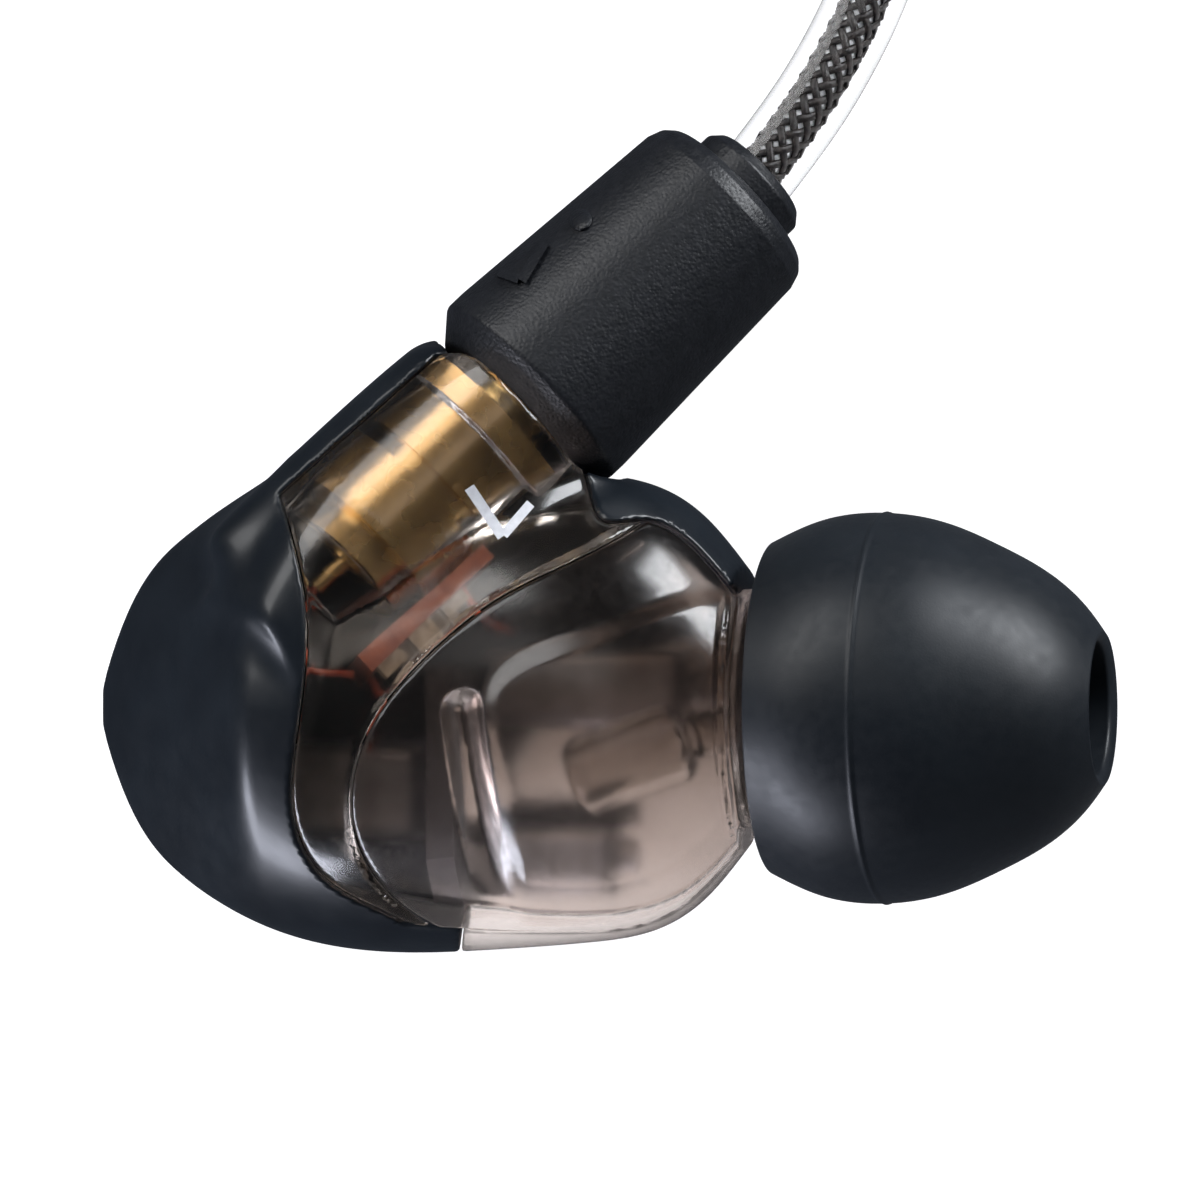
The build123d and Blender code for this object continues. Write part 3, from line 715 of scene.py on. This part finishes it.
def leather_grain():
    """Black moulding with the fine pebbled grain of the plug barrel."""
    paint = Paint("grained moulding", (0.007, 0.008, 0.010), 0.4,
                  IOR=1.42, Coat_Weight=0.06, Coat_Roughness=0.25)
    pebbles = paint.cells(9.5, "SMOOTH_F1")
    paint.colours(paint.noise(2.2, 4), [(0.3, (0.005, 0.006, 0.008)), (0.7, (0.009, 0.010, 0.013))])
    paint.vary_roughness(paint.noise(6, 4), 0.36, 0.5)
    paint.bump(pebbles, 0.018, 0.9)
    paint.bump(paint.noise(9, 4), 0.006)
    return paint.material


def clear_jacket():
    paint = Paint("clear jacket", (0.97, 0.97, 0.98), 0.06, IOR=1.46, Transmission_Weight=1.0)
    paint.colours(paint.noise(0.4, 2), [(0.3, (0.93, 0.94, 0.95)), (0.7, (0.98, 0.98, 0.985))])
    paint.vary_roughness(paint.noise(1.5, 3), 0.04, 0.1)
    paint.bump(paint.noise(1.1, 3), 0.006)
    return paint.material


def cable_jacket():
    paint = Paint("cable jacket", (0.016, 0.016, 0.018), 0.45, IOR=1.48)
    paint.colours(paint.noise(0.5, 3), [(0.3, (0.013, 0.013, 0.015)), (0.7, (0.021, 0.021, 0.024))])
    paint.vary_roughness(paint.noise(2, 4), 0.4, 0.52)
    paint.bump(paint.noise(6, 3), 0.006)
    return paint.material


def hook_and_loop():
    paint = Paint("hook and loop tie", (0.02, 0.02, 0.022), 0.85, Sheen_Weight=0.5, Sheen_Roughness=0.4)
    fibres = paint.cells(3.2)
    paint.colours(fibres, [(0.1, (0.045, 0.045, 0.05)), (0.6, (0.012, 0.012, 0.014))])
    paint.bump(fibres, 0.12)
    return paint.material


def braid_strand(name, dark, light, metallic, roughness):
    paint = Paint(name, light, roughness, Metallic=metallic)
    paint.colours(paint.noise(6, 4), [(0.3, dark), (0.7, light)])
    paint.bump(paint.noise(14, 2), 0.01)
    return paint.material


SLOT_PAINTS = {
    "cover_black": black_moulding(),
    # the last colour here is painted shade, the smoke's tint painted darker towards +Y
    "smoke_clear": smoke("frosted smoke", 0.2, (0.86, 0.78, 0.74), 0.0006, (0.24, 0.185, 0.155)),
    "tip_silicone": silicone(),
    "gold_plate": gold(),
    "driver_steel": steel(),
    "board_resin": board(),
    "chip_ceramic": speckled("ceramic", (0.24, 0.20, 0.15), (0.42, 0.37, 0.30), 0.5),
    "tube_clear": smoke("acoustic tube", 0.1, (0.86, 0.83, 0.80), 0.002),
    "cradle_dark": speckled("dark nylon", (0.016, 0.016, 0.018), (0.034, 0.034, 0.038), 0.55),
    "insulator_cream": speckled("cream insulator", (0.58, 0.54, 0.44), (0.76, 0.73, 0.64), 0.5),
    "wire_copper": speckled("wire enamel", (0.40, 0.05, 0.02), (0.62, 0.13, 0.06), 0.4),
    "screen_mesh": woven_mesh(),
    "plug_grain": leather_grain(),
    "loop_jacket": clear_jacket(),
    "cable_black": cable_jacket(),
    "tie_black": hook_and_loop(),
}
MATERIALS = {part["node"]: SLOT_PAINTS[part["material_slot"]] for part in frame["record"]["subparts"]}
MATERIALS["mid_shell"] = smoke("clear smoke", 0.16, (0.58, 0.51, 0.45), 0.0006)


def paint_cad_nodes():
    for name, node in frame["nodes"].items():
        node.data.materials.clear()
        node.data.materials.append(MATERIALS[name])


# ---------------------------------------------------------------- the ear loop and the plain cable
def nurbs_curve(name, points, bevel=0.0):
    """Cord centreline as one smooth spline, with a round section when a radius is given."""
    data = bpy.data.curves.new(name, "CURVE")
    data.dimensions = "3D"
    spline = data.splines.new("NURBS")
    spline.points.add(len(points) - 1)
    for target, point in zip(spline.points, place(points)):
        target.co = (*point, 1)
    spline.order_u = 3
    spline.use_endpoint_u = True
    spline.resolution_u = 8
    data.bevel_depth = bevel * MM
    data.bevel_resolution = 6
    data.use_fill_caps = True
    curve = bpy.data.objects.new(name, data)
    bpy.context.scene.collection.objects.link(curve)
    return curve


def points_along(curve, spacing):
    """Evenly spaced points, in metres, on a curve object that has no bevel."""
    line = bpy.data.meshes.new_from_object(curve)
    raw = np.array([v.co for v in line.vertices])
    reach = np.concatenate([[0], np.cumsum(np.linalg.norm(np.diff(raw, axis=0), axis=1))])
    along = np.linspace(0, reach[-1], int(reach[-1] / spacing) + 1)
    bpy.data.meshes.remove(line)
    return np.stack([np.interp(along, reach, raw[:, i]) for i in range(3)], axis=1), along


def headings(points):
    """Direction of a line at each of its points."""
    ahead = np.gradient(points, axis=0)
    return ahead / np.linalg.norm(ahead, axis=1, keepdims=True)


def frames_along(points):
    """Two directions across the line at each point, turning with it as little as possible."""
    ahead = headings(points)
    first = [unit(np.cross(ahead[0], [0.1, 0.2, 1.0]))]
    for direction in ahead[1:]:
        first.append(unit(first[-1] - direction * (first[-1] @ direction)))
    first = np.array(first)
    return first, np.cross(ahead, first)


BRAID_R, BRAID_STRANDS, BRAID_PITCH = 0.47, 6, 3.8       # strands each way, length of one turn
CORE_R = BRAID_R - 0.07
STRAND_HALF_WIDTH, STRAND_HALF_THICKNESS, STRAND_WAVE = 0.115, 0.025, 0.035


def tube_rings(points, first, second, radius, sides):
    angles = np.arange(sides) * 2 * pi / sides
    spokes = np.cos(angles)[None, :, None] * first[:, None] + np.sin(angles)[None, :, None] * second[:, None]
    return points[:, None] + radius * MM * spokes


def bridge(rings, offset):
    """Quads between successive rings of points, and a cap at each end."""
    count, sides = rings.shape[:2]
    faces = []
    for i in range(count - 1):
        for j in range(sides):
            k = (j + 1) % sides
            faces.append((offset + i * sides + j, offset + i * sides + k,
                          offset + (i + 1) * sides + k, offset + (i + 1) * sides + j))
    faces.append(tuple(offset + j for j in reversed(range(sides))))
    faces.append(tuple(offset + (count - 1) * sides + j for j in range(sides)))
    return faces


def make_ear_loop():
    """Clear jacket over a core sleeved in flat braid, as one piece."""
    guide = nurbs_curve("ear_loop_guide", LOOP_ROUTE)
    points, along = points_along(guide, 0.22 * MM)
    bpy.data.objects.remove(guide)
    first, second = frames_along(points)
    groups = [(tube_rings(points, first, second, LOOP_D / 2, 64), 0),
              (tube_rings(points[::3], first[::3], second[::3], CORE_R, 16), 2)]
    for way in (1, -1):
        for strand in range(BRAID_STRANDS):
            turn = way * 2 * pi * along / (BRAID_PITCH * MM) + 2 * pi * strand / BRAID_STRANDS
            wave = np.cos(BRAID_STRANDS * (turn * way)) * way
            radius = (BRAID_R + STRAND_WAVE * wave)[:, None] * MM
            out = np.cos(turn)[:, None] * first + np.sin(turn)[:, None] * second
            middle = points + radius * out
            side = np.cross(out, headings(middle)) * STRAND_HALF_WIDTH * MM
            lift = out * STRAND_HALF_THICKNESS * MM
            rings = np.stack([middle + side - lift, middle + side * 0.7 + lift, middle - side * 0.7 + lift,
                              middle - side - lift], axis=1)
            groups.append((rings, 1))
    vertices, faces, paints = [], [], []
    offset = 0
    for rings, paint in groups:
        added = bridge(rings, offset)
        faces += added
        paints += [paint] * len(added)
        vertices.append(rings.reshape(-1, 3))
        offset += rings.shape[0] * rings.shape[1]
    loop = add_mesh("ear_loop_cord", np.concatenate(vertices), faces, "cable", MATERIALS["ear_loop"],
                    metres=True)
    for look in (("dark braid", (0.010, 0.008, 0.008), (0.045, 0.034, 0.030), 0.0, 0.4),
                 ("silver core", (0.72, 0.72, 0.73), (0.95, 0.95, 0.96), 0.25, 0.35)):
        loop.data.materials.append(braid_strand(*look))
    loop.data.polygons.foreach_set("material_index", paints)
    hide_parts("ear_loop")


def make_plain_cable():
    cable = nurbs_curve("plain_cable", LEAD_ROUTE + coil_points() + TAIL_ROUTE, CABLE_D / 2)
    cable.data.materials.append(MATERIALS["cable_coil"])
    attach(cable, "cable")
    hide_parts("cable_lead", "cable_coil", "cable_tail")


# ---------------------------------------------------------------- ear tip and plug
TIP_OUTLET_R, TIP_CORE_R, TIP_CORE_BORE_R = 2.1, 3.3, 2.6
TIP_CORE_START, TIP_SEAT = 0.9, NOZZLE_END + 0.1
TIP_OUTSIDE = [(0.62, 5.25), (2.2, 5.93), (4.1, 6.15), (6.0, 5.85), (7.7, 5.15), (9.4, 4.2), (10.5, 3.2),
               (11.1, 2.4)]                                     # x, radius
TIP_INSIDE = [(0.62, 4.7), (2.2, 5.38), (4.1, 5.6), (5.9, 5.25), (7.3, 4.55), (7.9, 3.8), (7.3, 3.3)]
TIP_LINE_X, TIP_LINE_RISE, TIP_LINE_HALF_WIDTH = 4.2, 0.045, 0.07

PLUG_NOSE_R, PLUG_R, PLUG_TOP_R, PLUG_LENGTH = 2.9, 3.71, 3.3, 10.1
PLUG_SLEEVE_R = 1.55
COLLAR_R, COLLAR_LENGTH = 2.0, 1.05
PLUG_BORE_R, PLUG_BORE_STEP = 1.3, 3.6
COLLAR_BORE_R, COLLAR_ROOT = 0.6, 8.0
BARREL_STEPS = [(0.06, PLUG_NOSE_R), (0.95, PLUG_R), (1.6, PLUG_R), (9.35, PLUG_TOP_R),
                (9.8, PLUG_TOP_R - 0.15), (PLUG_LENGTH, PLUG_TOP_R - 0.45)]


def make_ear_tip():
    outside = curve_through(TIP_OUTSIDE, 30)
    outside[:, 1] += TIP_LINE_RISE * np.exp(-((outside[:, 0] - TIP_LINE_X) / TIP_LINE_HALF_WIDTH) ** 2)
    inside = curve_through(TIP_INSIDE, 10)[::-1]
    end = TIP_OUTSIDE[-1][0]
    outlet = rounded([outside[-1], (end - 0.22, TIP_OUTLET_R), (TIP_SEAT, TIP_OUTLET_R),
                      (TIP_SEAT, TIP_CORE_BORE_R), (TIP_CORE_START, TIP_CORE_BORE_R),
                      (TIP_CORE_START, TIP_CORE_R), inside[0]], 0.12, closed=False)
    rim = rounded([inside[-1], (0.60, 4.80), (0.60, 5.15), outside[0]], 0.08, closed=False)
    profile = [(r, x) for x, r in [*outside, *outlet[1:-1], *inside, *rim[1:-1]]]
    tip = lathe("silicone_tip", profile, (0, 0, 0), (1, 0, 0), "ear_tip", MATERIALS["ear_tip"], 180)
    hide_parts("ear_tip")


def barrel_distance(points):
    height, radius = plug_axes(points)
    steps = np.array(BARREL_STEPS)
    return np.maximum(radius - np.interp(height, steps[:, 0], steps[:, 1]), np.abs(height - 5) - 5)


def make_plug():
    barrel = [(r, h) for h, r in BARREL_STEPS]
    bore = [(PLUG_BORE_R, PLUG_LENGTH), (PLUG_BORE_R, PLUG_BORE_STEP), (PLUG_SLEEVE_R, PLUG_BORE_STEP),
            (PLUG_SLEEVE_R, BARREL_STEPS[0][0])]
    housing = lathe("plug_barrel", rounded(barrel + bore, 0.28, 6), MOUTH, PLUG_DIR, "cable",
                    MATERIALS["plug_housing"], 160)
    top = PLUG_LENGTH + COLLAR_LENGTH
    collar_profile = [(COLLAR_BORE_R, COLLAR_ROOT), (PLUG_BORE_R, COLLAR_ROOT), (PLUG_BORE_R, PLUG_LENGTH),
                      (COLLAR_R, PLUG_LENGTH), (COLLAR_R, top - 0.35), (COLLAR_R - 0.3, top),
                      (COLLAR_BORE_R, top)]
    collar = lathe("plug_end_collar", rounded(collar_profile, 0.18, 5), MOUTH, PLUG_DIR, "cable",
                   MATERIALS["plug_collar"], 128)
    for piece, node in ((housing, "plug_housing"), (collar, "plug_collar")):
        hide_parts(node)


# ---------------------------------------------------------------- side marks
PRINT_STROKES = [((-9.04, 6.93), (-8.0, 5.39), 0.17), ((-7.97, 5.44), (-7.12, 6.43), 0.15)]
PLUG_STROKES = [((-6.70, 14.66), (-7.42, 13.44), 0.16), ((-7.5, 13.5), (-8.16, 13.75), 0.15)]
PLUG_DOT, PLUG_DOT_R = (-5.56, 15.38), 0.36
PRINT_RISE, LETTER_RISE, DOT_RISE = 0.02, 0.24, 0.28
RAISED_SINK = 0.15
DROP_FROM, DROP_TO, DROP_STEP = 9.0, -5.0, 0.04
STROKE_CELLS, DOT_CELLS = (12, 4), 10


def drop_onto(distance, spots):
    """Height along the view direction at which a surface first meets lines through the (u, v) spots."""
    heights = np.arange(DROP_FROM, DROP_TO, -DROP_STEP)
    spots = np.asarray(spots, float)
    lines = np.concatenate([np.broadcast_to(spots[:, None], (len(spots), len(heights), 2)),
                            np.broadcast_to(heights[None, :, None], (len(spots), len(heights), 1))], axis=2)
    values = distance(lines)
    first = np.argmax(values < 0, axis=1)
    rows = np.arange(len(spots))
    above, below = values[rows, first - 1], values[rows, first]
    return heights[first - 1] - DROP_STEP * above / (above - below)


def mark(name, columns, distance, rise, sink, material, body):
    """Thin raised piece on a surface; columns is a grid of (u, v) spots with a height share each."""
    columns = np.asarray(columns, float)
    rows, across = columns.shape[:2]
    flat = columns.reshape(-1, 3)
    ground = drop_onto(distance, flat[:, :2])
    top = np.concatenate([flat[:, :2], (ground + rise * flat[:, 2])[:, None]], axis=1)
    bottom = np.concatenate([flat[:, :2], (ground - sink)[:, None]], axis=1)
    count = rows * across
    faces = []
    for i in range(rows - 1):
        for j in range(across - 1):
            a, b, c, d = i * across + j, i * across + j + 1, (i + 1) * across + j + 1, (i + 1) * across + j
            faces += [(a, b, c, d), (count + d, count + c, count + b, count + a)]
    edge = [(0, j) for j in range(across)] + [(i, across - 1) for i in range(1, rows)]
    edge += [(rows - 1, j) for j in range(across - 2, -1, -1)] + [(i, 0) for i in range(rows - 2, 0, -1)]
    ids = [i * across + j for i, j in edge]
    for a, b in zip(ids, ids[1:] + ids[:1]):
        faces.append((b, a, count + a, count + b))
    piece = add_mesh(name, view_to_nozzle(np.concatenate([top, bottom])), faces, body, material, smooth=False)
    face_outwards(piece)


def stroke_grid(start, end, half_width):
    start, end = np.array(start), np.array(end)
    side = half_width * unit([start[1] - end[1], end[0] - start[0]])
    return [[(*(start + (end - start) * s + side * t), 1.0) for t in np.linspace(-1, 1, STROKE_CELLS[1] + 1)]
            for s in np.linspace(0, 1, STROKE_CELLS[0] + 1)]


def dot_grid(centre, radius):
    """Square grid pressed into a disc, domed in the middle."""
    grid = []
    for a in np.linspace(-1, 1, DOT_CELLS + 1):
        row = []
        for b in np.linspace(-1, 1, DOT_CELLS + 1):
            x, y = a * np.sqrt(1 - b * b / 2), b * np.sqrt(1 - a * a / 2)
            dome = np.sqrt(max(1.05 - x * x - y * y, 0.05))
            row.append((centre[0] + radius * x, centre[1] + radius * y, dome))
        grid.append(row)
    return grid


def make_marks():
    ink = speckled("side letter ink", (0.50, 0.51, 0.55), (0.60, 0.61, 0.65), 0.5, 4.0, 0.002)
    for i, stroke in enumerate(PRINT_STROKES):
        mark(f"side_letter_{i + 1}", stroke_grid(*stroke), outside_distance, PRINT_RISE, 0.0, ink, "earpiece")
    for i, stroke in enumerate(PLUG_STROKES):
        mark(f"plug_letter_{i + 1}", stroke_grid(*stroke), barrel_distance, LETTER_RISE, RAISED_SINK,
             MATERIALS["plug_housing"], "cable")
    mark("plug_dot", dot_grid(PLUG_DOT, PLUG_DOT_R), barrel_distance, DOT_RISE, RAISED_SINK,
         MATERIALS["plug_housing"], "cable")


# ---------------------------------------------------------------- floor and light
FLOOR_REACH = 1.5                  # metres from the middle
FLOOR_GLOW = 0.92
MIRRORED_FLOOR = (0.034, 0.039, 0.050, 1)                        # what reflections see in its place


def make_floor():
    mesh = bpy.data.meshes.new("floor")
    corners = [(x * FLOOR_REACH, y * FLOOR_REACH, 0) for x, y in ((-1, -1), (1, -1), (1, 1), (-1, 1))]
    mesh.from_pydata(corners, [], [(0, 1, 2, 3)])
    paper = speckled("floor paper", (0.42, 0.42, 0.43), (0.46, 0.46, 0.47), 0.8, 0.2, 0.01)
    shader = paper.node_tree.nodes["Principled BSDF"]
    shader.inputs["Emission Color"].default_value = (1, 1, 1, 1)
    shader.inputs["Emission Strength"].default_value = FLOOR_GLOW
    tree = paper.node_tree
    dim = tree.nodes.new("ShaderNodeEmission")
    dim.inputs["Color"].default_value = MIRRORED_FLOOR
    path = tree.nodes.new("ShaderNodeLightPath")
    mirrored = tree.nodes.new("ShaderNodeMath")
    mirrored.operation = "SUBTRACT"
    mirrored.use_clamp = True
    tree.links.new(path.outputs["Is Glossy Ray"], mirrored.inputs[0])
    tree.links.new(path.outputs["Is Transmission Ray"], mirrored.inputs[1])
    mix_shaders(tree, mirrored.outputs["Value"], shader.outputs["BSDF"], dim.outputs["Emission"],
                "Material Output")
    mesh.materials.append(paper)
    floor = bpy.data.objects.new("floor", mesh)
    bpy.context.scene.collection.objects.link(floor)


def area_light(name, direction, distance, size, power, colour=(1, 1, 1)):
    """Soft panel facing the monitor; direction is given along the main view's right, up and towards axes."""
    lamp = bpy.data.objects.new(name, bpy.data.lights.new(name, "AREA"))
    lamp.data.shape = "RECTANGLE"
    lamp.data.size, lamp.data.size_y = size
    lamp.data.energy = power
    lamp.data.color = colour
    target = Vector(place(VIEW_CENTRE))
    towards = Vector(view_to_nozzle(np.array(unit(direction))))
    lamp.location = target + towards * distance
    lamp.rotation_mode = "QUATERNION"
    lamp.rotation_quaternion = towards.to_track_quat("Z", "Y")
    bpy.context.scene.collection.objects.link(lamp)


def make_world():
    world = bpy.data.worlds.new("studio")
    world.use_nodes = True
    nodes = world.node_tree.nodes
    sky = nodes["Background"]
    sky.inputs["Color"].default_value = (0.80, 0.86, 1.0, 1)
    sky.inputs["Strength"].default_value = 0.045
    backdrop = nodes.new("ShaderNodeBackground")
    backdrop.inputs["Color"].default_value = (0.93, 0.94, 0.96, 1)
    backdrop.inputs["Strength"].default_value = 1.0
    camera_ray = nodes.new("ShaderNodeLightPath").outputs["Is Camera Ray"]
    mix_shaders(world.node_tree, camera_ray, sky.outputs["Background"], backdrop.outputs["Background"],
                "World Output")
    bpy.context.scene.world = world


def make_lights():
    area_light("upper left panel", (-0.75, 0.75, 0.60), 0.30, (0.30, 0.16), 0.7)
    area_light("upper right panel", (0.80, 0.75, 0.30), 0.28, (0.20, 0.16), 1.6, (0.93, 0.96, 1.0))
    area_light("front panel", (-0.10, 0.35, 0.95), 0.45, (0.30, 0.12), 0.09)
    area_light("low left panel", (-0.8, -0.75, 0.12), 0.30, (0.26, 0.08), 1.1, (0.84, 0.87, 1.0))


make_camera()
make_ear_loop()
make_plain_cable()
paint_cad_nodes()
make_shells()
make_ear_tip()
make_plug()
make_marks()
make_floor()
make_world()
make_lights()
bpy.context.scene.view_settings.view_transform = "Standard"
